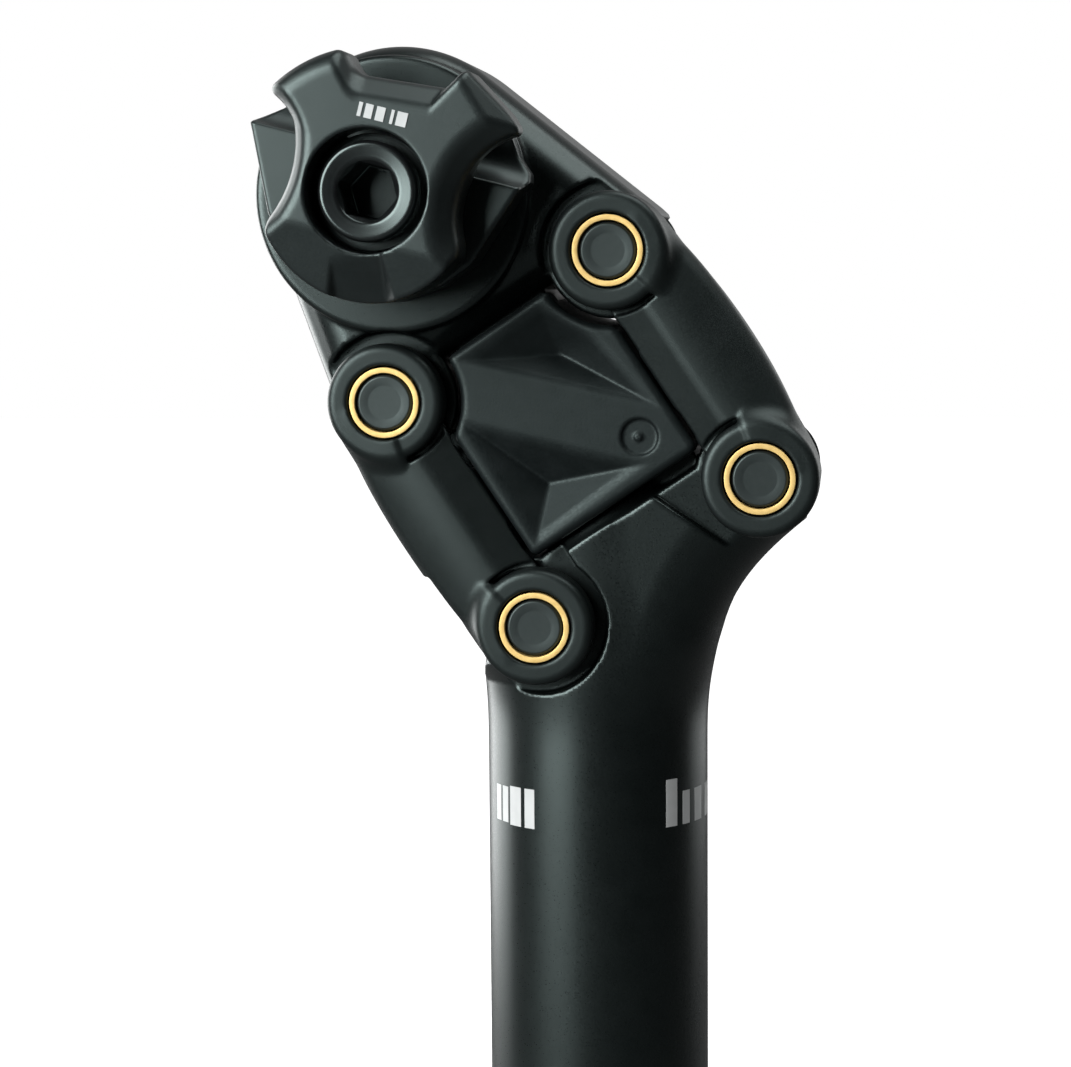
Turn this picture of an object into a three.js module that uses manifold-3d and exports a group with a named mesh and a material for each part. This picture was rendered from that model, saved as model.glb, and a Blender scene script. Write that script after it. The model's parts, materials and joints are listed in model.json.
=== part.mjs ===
// Suspension seatpost with a four-pivot parallelogram, an elastomer spring and a side-loading rail clamp.
// Millimetres. +X is forward on the bicycle, +Y is the rider's left and +Z runs up the post.
// The origin is the centre of the post's lower end. The pose is the unloaded one.
import * as THREE from 'three';
import { mergeVertices } from 'three/addons/utils/BufferGeometryUtils.js';
import Module from 'manifold-3d';

const wasm = await Module();
wasm.setup();

// Post
const POST_RADIUS = 13.6;             // 27.2 mm seat tube size
const POST_BORE_RADIUS = 11.2;
const POST_TOP = 268;                 // where the drawn tube ends and the forged yoke goes on
const SPIGOT_LENGTH = 18;
const SPIGOT_RADIUS = POST_BORE_RADIUS - 0.3;
const SPIGOT_BORE_RADIUS = 8.4;
const TUBE_SIDES = 48;

// Linkage: a square of four pivots, drawn in its own frame, whose x axis joins the two lower pivots
const LINKAGE_X = -1.3;
const LINKAGE_Z = 313;
const LINKAGE_TILT = THREE.MathUtils.degToRad(33.6);
const PIVOT_HALF = 16;                // half the side of the pivot square
const LUG_RADIUS = 6.9;
const LUG_HALF_WIDTH = 11.2;

// Links
const BOSS_RADIUS = 7.1;
const BOSS_FACE = 16.2;               // half width over the bosses
const CHEEK_INNER = 12.4;
const CHEEK_OUTER = 15.5;
const ARM_INNER = 12.05;              // distance of each arm's inner edge from the linkage centre
const ARM_BOW = 24.3;                 // distance of each arm's outer edge at mid length
const BRIDGE_HALF = 5;                // half length of the solid web between the two cheeks
const CHAMFER_WIDTH = 4.3;
const CHAMFER_DROP = 2;
const CHAMFER_HALF_LENGTH = 10;

// Pivot hardware
const PIN_RADIUS = 3.1;
const PIN_HALF_LENGTH = 15.9;
const PIN_HOLE_RADIUS = 3.4;
const BUSHING_INNER = 3.5;
const BUSHING_OUTER = 4.2;
const BUSHING_HOLE_RADIUS = 4.45;
const WASHER_OUTER = 6.2;
const WASHER_START = 11.5;
const WASHER_END = 12.1;
const SMALL_SIDES = 28;

// Yoke
const YOKE_FLARE_START = -37;         // heights counted from the linkage centre
const YOKE_FLARE_END = -14;
const YOKE_FLARE_RADIUS = 31;
const YOKE_EDGE_ROUND = 5;
const YOKE_WELL_DEPTH = 10;
const YOKE_SEAM_FROM_PIVOT = 9.05;    // the raised body stops this far from the lower front pivot
const YOKE_SEAM_ANGLE = THREE.MathUtils.degToRad(-67.6);
const YOKE_BODY_HALF_WIDTH = 12.9;
const POCKET_RADIUS = 8.4;            // round clearance beside each boss
const POCKET_REACH = 30;              // the flat pockets run past the yoke's outline
const POCKET_FLOOR_ANGLE = THREE.MathUtils.degToRad(125);

// Head
const CLAMP_X = -22.6;
const CLAMP_Z = 341.9;
const DRUM_RADIUS = 16.35;
const DRUM_FACE = 15;
const HEAD_HALF_WIDTH = 13.4;
const HEAD_RADIUS = 16.7;
const HEAD_CENTRE_X = -22.4;
const HEAD_CENTRE_Z = 343;
const HEAD_LOWER_EDGE = 16.9;         // in the linkage frame

// Elastomer spring
const BLOCK_HALF = 11.75;
const BLOCK_BOTTOM = -9.1;
const BLOCK_TOP = 16.4;
const BLOCK_HALF_WIDTH = 14;
const BLOCK_RELIEF_RADIUS = 8.8;
const BLOCK_POCKET_DEPTH = 3;

// Rail clamp, drawn in its own frame, whose x axis runs along the saddle rails
const CLAMP_TILT = THREE.MathUtils.degToRad(14.5);
const RAIL_RADIUS = 3.65;             // groove for 7 mm rails
const RAIL_HEIGHT = 8.1;
const RAIL_SPREAD = 22;               // rail centres are 44 mm apart
const CRADLE_START = DRUM_FACE + 0.3;
const CRADLE_FACE = 21.7;
const CAP_START = 22.3;
const CAP_FACE = 30.5;
const CAP_CROWN = [[19.5, 24.7], [14, 27.9], [9.2, 30.5]];   // radius and height where its slopes meet
const CAP_FOOT_RADIUS = 12.7;
const CAP_ARM_RADIUS = 16.2;
const COUNTERBORE_RADIUS = 7.05;
const COUNTERBORE_FLOOR = 24.6;
const CLAMP_WASHER_RADIUS = 6.7;
const CLAMP_WASHER_START = 24.9;
const CLAMP_WASHER_END = 25.9;
const BOLT_RADIUS = 4;
const BOLT_HOLE_RADIUS = 4.3;
const BOLT_HEAD_RADIUS = 5.75;
const BOLT_HEAD_START = 26.2;
const BOLT_HEAD_FACE = 29.3;
const BOLT_TIP = 26;
const HEX_ACROSS_FLATS = 6;
const HEX_DEPTH = 4.6;
const BARREL_RADIUS = 5.3;
const BARREL_HOLE_RADIUS = 5.6;
const BARREL_START = 16;

const MATERIALS = {
  anodised: { color: 0x17191a, roughness: 0.48, metalness: 0.55 },
  clamp: { color: 0x15181a, roughness: 0.4, metalness: 0.55 },
  elastomer: { color: 0x14181a, roughness: 0.62, metalness: 0 },
  steel: { color: 0x0c0d0e, roughness: 0.22, metalness: 0.9 },
  pin: { color: 0x101213, roughness: 0.45, metalness: 0.7 },
  bronze: { color: 0xc79a4b, roughness: 0.32, metalness: 0.9 },
  polymer: { color: 0x222426, roughness: 0.6, metalness: 0 },
};

// ---- Solid helpers ----

function toManifold(geometry) {
  const bare = geometry.clone();
  bare.deleteAttribute('normal');
  bare.deleteAttribute('uv');
  const merged = mergeVertices(bare, 1e-4);
  const points = merged.attributes.position;
  const index = merged.index.array;
  const corners = [];
  let volume = 0;
  const a = new THREE.Vector3();
  const b = new THREE.Vector3();
  const c = new THREE.Vector3();
  for (let i = 0; i < index.length; i += 3) {
    const [p, q, r] = [index[i], index[i + 1], index[i + 2]];
    if (p === q || q === r || r === p) continue;
    corners.push(p, q, r);
    a.fromBufferAttribute(points, p);
    b.fromBufferAttribute(points, q);
    c.fromBufferAttribute(points, r);
    volume += a.dot(b.cross(c));
  }
  if (volume < 0) {
    for (let i = 0; i < corners.length; i += 3) {
      [corners[i], corners[i + 1]] = [corners[i + 1], corners[i]];
    }
  }
  return new wasm.Manifold(new wasm.Mesh({
    numProp: 3,
    vertProperties: new Float32Array(points.array),
    triVerts: new Uint32Array(corners),
  }));
}

function toGeometry(solid) {
  const mesh = solid.getMesh();
  const geometry = new THREE.BufferGeometry();
  geometry.setAttribute('position', new THREE.BufferAttribute(mesh.vertProperties, 3));
  geometry.setIndex(new THREE.BufferAttribute(mesh.triVerts, 1));
  geometry.computeVertexNormals();
  return geometry;
}

function join(...solids) {
  return solids.reduce((sum, solid) => sum.add(solid));
}

function cut(solid, ...tools) {
  return tools.reduce((rest, tool) => rest.subtract(tool), solid);
}

// A shape drawn in x and z, given thickness in y.
function plate(shape, yMin, yMax, curveSegments = 16) {
  const geometry = new THREE.ExtrudeGeometry(shape, { depth: yMax - yMin, bevelEnabled: false, curveSegments });
  geometry.rotateX(Math.PI / 2);
  geometry.translate(0, yMax, 0);
  return toManifold(geometry);
}

function polygon(points) {
  return new THREE.Shape(points.map(([x, z]) => new THREE.Vector2(x, z)));
}

// A round solid about a line parallel to y through (x, z). The profile lists [radius, y] corners.
function turned(profile, x = 0, z = 0, sides = SMALL_SIDES) {
  const geometry = new THREE.LatheGeometry(profile.map(([r, y]) => new THREE.Vector2(r, y)), sides);
  geometry.translate(x, 0, z);
  return toManifold(geometry);
}

function rod(radius, yMin, yMax, x = 0, z = 0, sides = SMALL_SIDES) {
  return turned([[0, yMin], [radius, yMin], [radius, yMax], [0, yMax]], x, z, sides);
}

function ring(inner, outer, yMin, yMax, x = 0, z = 0) {
  return turned([[inner, yMin], [outer, yMin], [outer, yMax], [inner, yMax], [inner, yMin]], x, z);
}

// The same rod on both sides of the middle plane.
function rodPair(radius, yMin, yMax, x, z, sides) {
  return join(rod(radius, yMin, yMax, x, z, sides), rod(radius, -yMax, -yMin, x, z, sides));
}

function box(xMin, xMax, yMin, yMax, zMin, zMax) {
  const geometry = new THREE.BoxGeometry(xMax - xMin, yMax - yMin, zMax - zMin);
  geometry.translate((xMin + xMax) / 2, (yMin + yMax) / 2, (zMin + zMax) / 2);
  return toManifold(geometry);
}

function part(name, solid, material) {
  const mesh = new THREE.Mesh(toGeometry(solid), new THREE.MeshStandardMaterial(MATERIALS[material]));
  mesh.name = name;
  return mesh;
}

// ---- Places ----

const PIVOTS = {
  lower_front: { x: PIVOT_HALF, z: -PIVOT_HALF },
  lower_rear: { x: -PIVOT_HALF, z: -PIVOT_HALF },
  upper_front: { x: PIVOT_HALF, z: PIVOT_HALF },
  upper_rear: { x: -PIVOT_HALF, z: PIVOT_HALF },
};

// A point of the part's frame, written in the linkage frame.
function inLinkage(x, z) {
  const dx = x - LINKAGE_X;
  const dz = z - LINKAGE_Z;
  return new THREE.Vector2(
    dx * Math.cos(LINKAGE_TILT) + dz * Math.sin(LINKAGE_TILT),
    -dx * Math.sin(LINKAGE_TILT) + dz * Math.cos(LINKAGE_TILT),
  );
}

// ---- Post ----

function postTube() {
  const profile = [
    [POST_BORE_RADIUS, 0.6],
    [POST_BORE_RADIUS + 0.6, 0],
    [POST_RADIUS - 0.6, 0],
    [POST_RADIUS, 0.6],
    [POST_RADIUS, POST_TOP],
    [POST_BORE_RADIUS, POST_TOP],
    [POST_BORE_RADIUS, 0.6],
  ];
  const geometry = new THREE.LatheGeometry(profile.map(([r, y]) => new THREE.Vector2(r, y)), TUBE_SIDES);
  geometry.rotateX(Math.PI / 2);
  return part('post_tube', toManifold(geometry), 'anodised');
}

// Side view of the yoke in the part's frame, with heights counted from the linkage centre.
function yokeOutline() {
  const front = inPart(PIVOTS.lower_front);
  const rear = inPart(PIVOTS.lower_rear);
  const shape = new THREE.Shape();
  shape.moveTo(-POST_RADIUS, POST_TOP + 0.3);
  shape.lineTo(POST_RADIUS, POST_TOP + 0.3);
  shape.lineTo(POST_RADIUS, LINKAGE_Z - 38);
  shape.quadraticCurveTo(POST_RADIUS, LINKAGE_Z - 22, 20.4, LINKAGE_Z - 15.2);
  shape.lineTo(front.x + LUG_RADIUS * 0.72, front.y - LUG_RADIUS * 0.69);
  shape.absarc(front.x, front.y, LUG_RADIUS, -0.76, LINKAGE_TILT + Math.PI * 0.62, false);
  shape.absarc(rear.x, rear.y, LUG_RADIUS, LINKAGE_TILT + Math.PI * 0.38, Math.PI * 1.05, false);
  shape.lineTo(-POST_RADIUS, rear.y - 7);
  shape.closePath();
  return shape;
}

// A point of the linkage frame, written in the part's frame.
function inPart(point) {
  return new THREE.Vector2(
    LINKAGE_X + point.x * Math.cos(LINKAGE_TILT) - point.z * Math.sin(LINKAGE_TILT),
    LINKAGE_Z + point.x * Math.sin(LINKAGE_TILT) + point.z * Math.cos(LINKAGE_TILT),
  );
}

// The space that the link arms sweep beside the lugs, for the side from yMin to yMax.
function yokePocket(yMin, yMax) {
  const front = inPart(PIVOTS.lower_front);
  const rear = inPart(PIVOTS.lower_rear);
  const seamAngle = YOKE_SEAM_ANGLE + LINKAGE_TILT;
  const along = new THREE.Vector2(Math.cos(seamAngle), Math.sin(seamAngle));
  const across = new THREE.Vector2(-along.y, along.x);
  const corner = front.clone().addScaledVector(across, -YOKE_SEAM_FROM_PIVOT);
  const frontPocket = polygon([
    [-POCKET_REACH, 0],
    [POCKET_REACH, 0],
    [POCKET_REACH, POCKET_REACH],
    [-POCKET_REACH, POCKET_REACH],
  ].map(([s, t]) => {
    const point = corner.clone().addScaledVector(along, s).addScaledVector(across, t);
    return [point.x, point.y];
  }));
  const sweep = LINKAGE_TILT + POCKET_FLOOR_ANGLE;
  const edge = new THREE.Vector2(Math.cos(sweep), Math.sin(sweep));
  const low = rear.clone().add(new THREE.Vector2(-edge.y, edge.x).multiplyScalar(POCKET_RADIUS));
  const inner = POCKET_RADIUS - 0.6;
  const upper = inPart({ x: -PIVOT_HALF + inner, z: 20 });
  const rearPocket = polygon([
    [low.x, low.y],
    [low.x + edge.x * POCKET_REACH, low.y + edge.y * POCKET_REACH],
    [upper.x, upper.y],
    [rear.x + inner * Math.cos(LINKAGE_TILT), rear.y + inner * Math.sin(LINKAGE_TILT)],
    [rear.x, rear.y],
  ]);
  return join(
    plate(frontPocket, yMin, yMax),
    plate(rearPocket, yMin, yMax),
    rod(POCKET_RADIUS, yMin, yMax, rear.x, rear.y, 40),
  );
}

// Upright cylinder or cone about the post axis.
function upright(lowerRadius, upperRadius, zMin, zMax) {
  const geometry = new THREE.CylinderGeometry(upperRadius, lowerRadius, zMax - zMin, TUBE_SIDES);
  geometry.rotateX(Math.PI / 2);
  geometry.translate(0, 0, (zMin + zMax) / 2);
  return toManifold(geometry);
}

// The yoke's side view as a slab with rounded edges.
function yokeSlab() {
  const geometry = new THREE.ExtrudeGeometry(yokeOutline(), {
    depth: 2 * (YOKE_BODY_HALF_WIDTH - YOKE_EDGE_ROUND),
    bevelThickness: YOKE_EDGE_ROUND,
    bevelSize: YOKE_EDGE_ROUND,
    bevelOffset: -YOKE_EDGE_ROUND,
    bevelSegments: 3,
    curveSegments: 12,
  });
  geometry.rotateX(Math.PI / 2);
  geometry.translate(0, YOKE_BODY_HALF_WIDTH - YOKE_EDGE_ROUND, 0);
  return toManifold(geometry);
}

function postYoke() {
  const front = inPart(PIVOTS.lower_front);
  const rear = inPart(PIVOTS.lower_rear);
  const base = POST_TOP + 0.3;
  const outline = yokeOutline();
  const flareTop = LINKAGE_Z + YOKE_FLARE_END;
  const flare = join(
    upright(POST_RADIUS, YOKE_FLARE_RADIUS, LINKAGE_Z + YOKE_FLARE_START, flareTop),
    box(-40, 40, -20, 20, flareTop, flareTop + 60),
  );
  const lugs = plate(outline, -LUG_HALF_WIDTH, LUG_HALF_WIDTH);
  const flesh = join(
    upright(POST_RADIUS, POST_RADIUS, base, LINKAGE_Z).intersect(plate(outline, -20, 20)),
    yokeSlab().intersect(flare),
    lugs.intersect(flare),
  );
  const solid = cut(
    join(flesh, upright(SPIGOT_RADIUS, SPIGOT_RADIUS, base - SPIGOT_LENGTH, base + 2)),
    yokePocket(LUG_HALF_WIDTH, 20),
    yokePocket(-20, -LUG_HALF_WIDTH),
    rod(PIN_HOLE_RADIUS, -20, 20, front.x, front.y),
    rod(PIN_HOLE_RADIUS, -20, 20, rear.x, rear.y),
    upright(SPIGOT_BORE_RADIUS, SPIGOT_BORE_RADIUS, base - SPIGOT_LENGTH - 10, base + YOKE_WELL_DEPTH),
  );
  return part('post_yoke', solid, 'anodised');
}

// ---- Links ----

// side is +1 for the front link and -1 for the rear one.
function link(name, side) {
  const outline = new THREE.Shape();
  const end = PIVOT_HALF + BOSS_RADIUS - 0.3;
  outline.moveTo(side * ARM_INNER, -PIVOT_HALF);
  outline.lineTo(side * ARM_INNER, PIVOT_HALF);
  outline.lineTo(side * (PIVOT_HALF + 4), PIVOT_HALF + 5);
  outline.quadraticCurveTo(side * (end + 0.7), PIVOT_HALF + 3, side * (end + 0.5), PIVOT_HALF - 2);
  outline.quadraticCurveTo(side * (2 * ARM_BOW - end - 0.5), 0, side * (end + 0.5), -PIVOT_HALF + 2);
  outline.quadraticCurveTo(side * (end + 0.7), -PIVOT_HALF - 3, side * (PIVOT_HALF + 4), -PIVOT_HALF - 5);
  outline.closePath();
  const bosses = [-PIVOT_HALF, PIVOT_HALF].map(
    (z) => rodPair(BOSS_RADIUS, CHEEK_INNER, BOSS_FACE, side * PIVOT_HALF, z, 36),
  );
  const bores = [-PIVOT_HALF, PIVOT_HALF].map(
    (z) => rod(BUSHING_HOLE_RADIUS, -20, 20, side * PIVOT_HALF, z),
  );
  const slots = [-1, 1].map((end_) => box(
    -40, 40,
    -CHEEK_INNER, CHEEK_INNER,
    Math.min(end_ * BRIDGE_HALF, end_ * 30), Math.max(end_ * BRIDGE_HALF, end_ * 30),
  ));
  const arm = cut(plate(outline, -CHEEK_OUTER, CHEEK_OUTER), armChamfer(side, 1), armChamfer(side, -1));
  return part(name, cut(join(cut(arm, ...slots), ...bosses), ...bores), 'anodised');
}

// The sloping band along an arm's inner edge, on the face at y times CHEEK_OUTER.
function armChamfer(side, y) {
  const wedge = polygon([
    [side * (ARM_INNER - 1), y * (CHEEK_OUTER + 1)],
    [side * (ARM_INNER - 1), y * (CHEEK_OUTER - CHAMFER_DROP)],
    [side * ARM_INNER, y * (CHEEK_OUTER - CHAMFER_DROP)],
    [side * (ARM_INNER + CHAMFER_WIDTH), y * CHEEK_OUTER],
    [side * (ARM_INNER + CHAMFER_WIDTH), y * (CHEEK_OUTER + 1)],
  ]);
  const geometry = new THREE.ExtrudeGeometry(wedge, { depth: 2 * CHAMFER_HALF_LENGTH, bevelEnabled: false });
  geometry.translate(0, 0, -CHAMFER_HALF_LENGTH);
  return toManifold(geometry);
}

// ---- Pivot hardware ----

function pivotPin(place) {
  const { x, z } = PIVOTS[place];
  const profile = [
    [0, -PIN_HALF_LENGTH],
    [PIN_RADIUS - 0.4, -PIN_HALF_LENGTH],
    [PIN_RADIUS, -PIN_HALF_LENGTH + 0.4],
    [PIN_RADIUS, PIN_HALF_LENGTH - 0.4],
    [PIN_RADIUS - 0.4, PIN_HALF_LENGTH],
    [0, PIN_HALF_LENGTH],
  ];
  return part(`pivot_pin_${place}`, turned(profile, x, z), 'pin');
}

function mirrorRange(side, near, far) {
  return side > 0 ? [near, far] : [-far, -near];
}

function bushing(place, sideName, side) {
  const { x, z } = PIVOTS[place];
  const [yMin, yMax] = mirrorRange(side, CHEEK_INNER, BOSS_FACE);
  return part(`bushing_${place}_${sideName}`, ring(BUSHING_INNER, BUSHING_OUTER, yMin, yMax, x, z), 'bronze');
}

function thrustWasher(place, sideName, side) {
  const { x, z } = PIVOTS[place];
  const [yMin, yMax] = mirrorRange(side, WASHER_START, WASHER_END);
  return part(`thrust_washer_${place}_${sideName}`, ring(BUSHING_INNER, WASHER_OUTER, yMin, yMax, x, z), 'polymer');
}

// ---- Elastomer spring ----

function elastomerOutline() {
  const shape = new THREE.Shape();
  const reach = Math.acos((PIVOT_HALF - BLOCK_HALF) / BLOCK_RELIEF_RADIUS);
  const lift = Math.asin((BLOCK_TOP - PIVOT_HALF) / BLOCK_RELIEF_RADIUS);
  shape.moveTo(-BLOCK_HALF + 0.9, BLOCK_BOTTOM);
  shape.lineTo(BLOCK_HALF - 0.9, BLOCK_BOTTOM);
  shape.lineTo(BLOCK_HALF, BLOCK_BOTTOM + 0.9);
  shape.absarc(PIVOT_HALF, PIVOT_HALF, BLOCK_RELIEF_RADIUS, Math.PI + reach, Math.PI - lift, true);
  shape.absarc(-PIVOT_HALF, PIVOT_HALF, BLOCK_RELIEF_RADIUS, lift, -reach, true);
  shape.lineTo(-BLOCK_HALF, BLOCK_BOTTOM + 0.9);
  shape.closePath();
  return shape;
}

// Two sunk facets on each face leave a raised diagonal band between them.
function elastomerSpring() {
  const upper = polygon([[-5.4, 14.9], [5.6, 15.3], [8.8, 8.9], [10.2, -1.5]]);
  const lower = polygon([[-9.9, 8.4], [4.8, -6.8], [-9.2, -7.3], [-10.2, -6.5]]);
  const pockets = [upper, lower].flatMap((shape) => [
    plate(shape, BLOCK_HALF_WIDTH - BLOCK_POCKET_DEPTH, BLOCK_HALF_WIDTH + 1),
    plate(shape, -BLOCK_HALF_WIDTH - 1, -BLOCK_HALF_WIDTH + BLOCK_POCKET_DEPTH),
  ]);
  const body = plate(elastomerOutline(), -BLOCK_HALF_WIDTH, BLOCK_HALF_WIDTH);
  return part('elastomer_spring', cut(body, ...pockets), 'elastomer');
}

// ---- Head ----

// Side view of the head in the linkage frame: a drum with two lugs, hollowed between the lugs.
function headOutline() {
  const drum = inLinkage(HEAD_CENTRE_X, HEAD_CENTRE_Z);
  const front = PIVOTS.upper_front;
  const rear = PIVOTS.upper_rear;
  const frontTilt = Math.atan2(front.z - drum.y, front.x - drum.x);
  const frontOpen = Math.acos((HEAD_RADIUS - LUG_RADIUS) / Math.hypot(front.x - drum.x, front.z - drum.y));
  const rearTilt = Math.atan2(rear.z - drum.y, rear.x - drum.x);
  const rearOpen = Math.acos((HEAD_RADIUS - LUG_RADIUS) / Math.hypot(rear.x - drum.x, rear.z - drum.y));
  const shape = new THREE.Shape();
  const lip = Math.asin((HEAD_LOWER_EDGE - PIVOT_HALF) / LUG_RADIUS);
  shape.absarc(drum.x, drum.y, HEAD_RADIUS, frontTilt + frontOpen, rearTilt - rearOpen + 2 * Math.PI, false);
  shape.absarc(rear.x, rear.z, LUG_RADIUS, rearTilt - rearOpen, lip, false);
  shape.absarc(front.x, front.z, LUG_RADIUS, Math.PI - lip, frontTilt + frontOpen + 2 * Math.PI, false);
  shape.closePath();
  return shape;
}

function seatHead() {
  const clamp = inLinkage(CLAMP_X, CLAMP_Z);
  const { upper_front: front, upper_rear: rear } = PIVOTS;
  const drum = turned([
    [0, -DRUM_FACE], [DRUM_RADIUS - 0.8, -DRUM_FACE], [DRUM_RADIUS, -DRUM_FACE + 0.8],
    [DRUM_RADIUS, DRUM_FACE - 0.8], [DRUM_RADIUS - 0.8, DRUM_FACE], [0, DRUM_FACE],
  ], clamp.x, clamp.y, 56);
  const body = plate(headOutline(), -HEAD_HALF_WIDTH, HEAD_HALF_WIDTH, 24);
  const solid = cut(
    join(body, drum),
    rodPair(POCKET_RADIUS, LUG_HALF_WIDTH, 20, front.x, front.z, 40),
    rodPair(POCKET_RADIUS, LUG_HALF_WIDTH, 20, rear.x, rear.z, 40),
    rod(PIN_HOLE_RADIUS, -20, 20, front.x, front.z),
    rod(PIN_HOLE_RADIUS, -20, 20, rear.x, rear.z),
    rod(BOLT_HOLE_RADIUS, -20, 20, clamp.x, clamp.y),
  );
  return part('seat_head', solid, 'anodised');
}

// ---- Rail clamp ----

// The rails lie along x on both sides.
function railGroove(side) {
  const geometry = new THREE.CylinderGeometry(RAIL_RADIUS, RAIL_RADIUS, 60, 32);
  geometry.rotateZ(Math.PI / 2);
  geometry.translate(0, side * RAIL_SPREAD, RAIL_HEIGHT);
  return toManifold(geometry);
}

function innerCradle(sideName, side) {
  const outline = polygon([
    [-16.9, 4.4], [-12.3, -5.4], [-9.6, -8.6], [-4.6, -11.8], [4.6, -11.8], [9.6, -8.6],
    [12.3, -5.4], [16.6, 4.4], [13.2, 12.4], [-13.2, 12.4],
  ]);
  const [yMin, yMax] = mirrorRange(side, CRADLE_START, CRADLE_FACE);
  const hole = side > 0 ? BARREL_HOLE_RADIUS : BOLT_HOLE_RADIUS;
  const solid = cut(plate(outline, yMin, yMax), railGroove(side), rod(hole, yMin - 1, yMax + 1));
  return part(`inner_cradle_${sideName}`, solid, 'clamp');
}

// Three arms: two reach up over the rail, one braces the lower edge.
function capOutline() {
  const shape = new THREE.Shape();
  shape.absarc(0, 0, CAP_FOOT_RADIUS, -Math.PI * 0.832, -Math.PI * 0.168, false);
  shape.quadraticCurveTo(6.6, 2.6, 15.3, 10.2);
  shape.lineTo(8.1, 15.4);
  shape.lineTo(6.0, 12.8);
  shape.lineTo(-4.2, 12.8);
  shape.lineTo(-6.3, 14.7);
  shape.absarc(0, 0, CAP_ARM_RADIUS, Math.PI * 0.632, Math.PI * 0.825, false);
  shape.quadraticCurveTo(-6.3, 2.2, -11, -6.4);
  shape.closePath();
  return shape;
}

function outerCap(sideName, side) {
  const [yMin, yMax] = mirrorRange(side, CAP_START, CAP_FACE);
  const crown = turned([
    [0, side * CAP_START],
    [CAP_CROWN[0][0], side * CAP_START],
    ...CAP_CROWN.map(([radius, height]) => [radius, side * height]),
    [0, side * CAP_FACE],
  ], 0, 0, 48);
  const counterbore = rod(COUNTERBORE_RADIUS, ...mirrorRange(side, COUNTERBORE_FLOOR, CAP_FACE + 1), 0, 0, 36);
  const hole = side > 0 ? BARREL_HOLE_RADIUS : BOLT_HOLE_RADIUS;
  const solid = cut(
    plate(capOutline(), yMin, yMax).intersect(crown),
    railGroove(side),
    counterbore,
    rod(hole, yMin - 1, yMax + 1),
  );
  return part(`outer_cap_${sideName}`, solid, 'clamp');
}

function clampWasher(sideName, side) {
  const [yMin, yMax] = mirrorRange(side, CLAMP_WASHER_START, CLAMP_WASHER_END);
  const hole = side > 0 ? BARREL_HOLE_RADIUS : BOLT_HOLE_RADIUS;
  return part(`clamp_washer_${sideName}`, ring(hole, CLAMP_WASHER_RADIUS, yMin, yMax), 'steel');
}

function hexSocket(yMin, yMax) {
  const corner = HEX_ACROSS_FLATS / Math.sqrt(3);
  const corners = Array.from({ length: 6 }, (_, i) => {
    const angle = Math.PI / 6 + i * Math.PI / 3;
    return [corner * Math.cos(angle), corner * Math.sin(angle)];
  });
  return plate(polygon(corners), yMin, yMax);
}

function clampBolt() {
  const body = turned([
    [0, -BOLT_HEAD_FACE], [BOLT_HEAD_RADIUS - 0.7, -BOLT_HEAD_FACE], [BOLT_HEAD_RADIUS, -BOLT_HEAD_FACE + 0.7],
    [BOLT_HEAD_RADIUS, -BOLT_HEAD_START], [BOLT_RADIUS, -BOLT_HEAD_START], [BOLT_RADIUS, BOLT_TIP - 0.8],
    [BOLT_RADIUS - 0.8, BOLT_TIP], [0, BOLT_TIP],
  ]);
  const socket = hexSocket(-BOLT_HEAD_FACE - 1, -BOLT_HEAD_FACE + HEX_DEPTH);
  return part('clamp_bolt', cut(body, socket), 'steel');
}

function clampNut() {
  const body = turned([
    [BOLT_HOLE_RADIUS, BARREL_START], [BARREL_RADIUS, BARREL_START], [BARREL_RADIUS, BOLT_HEAD_START],
    [BOLT_HEAD_RADIUS, BOLT_HEAD_START], [BOLT_HEAD_RADIUS, BOLT_HEAD_FACE - 0.7],
    [BOLT_HEAD_RADIUS - 0.7, BOLT_HEAD_FACE], [BOLT_HOLE_RADIUS, BOLT_HEAD_FACE],
    [BOLT_HOLE_RADIUS, BARREL_START],
  ]);
  return part('clamp_nut', body, 'steel');
}

// ---- Assembly ----

const linkage = new THREE.Group();
linkage.position.set(LINKAGE_X, 0, LINKAGE_Z);
linkage.rotation.y = -LINKAGE_TILT;
linkage.add(link('front_link', 1), link('rear_link', -1), elastomerSpring(), seatHead());
for (const place of Object.keys(PIVOTS)) {
  linkage.add(pivotPin(place));
  for (const [sideName, side] of [['left', 1], ['right', -1]]) {
    linkage.add(bushing(place, sideName, side), thrustWasher(place, sideName, side));
  }
}

const clamp = new THREE.Group();
clamp.position.set(CLAMP_X, 0, CLAMP_Z);
clamp.rotation.y = CLAMP_TILT;
for (const [sideName, side] of [['left', 1], ['right', -1]]) {
  clamp.add(innerCradle(sideName, side), outerCap(sideName, side), clampWasher(sideName, side));
}
clamp.add(clampBolt(), clampNut());

const seatpost = new THREE.Group();
seatpost.add(postTube(), postYoke(), linkage, clamp);

export default seatpost;
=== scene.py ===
"""Suspension seatpost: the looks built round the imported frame. Shapes are distance fields in millimetres."""
import json
import math
import bpy
import numpy as np
from mathutils import Matrix, Vector


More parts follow.
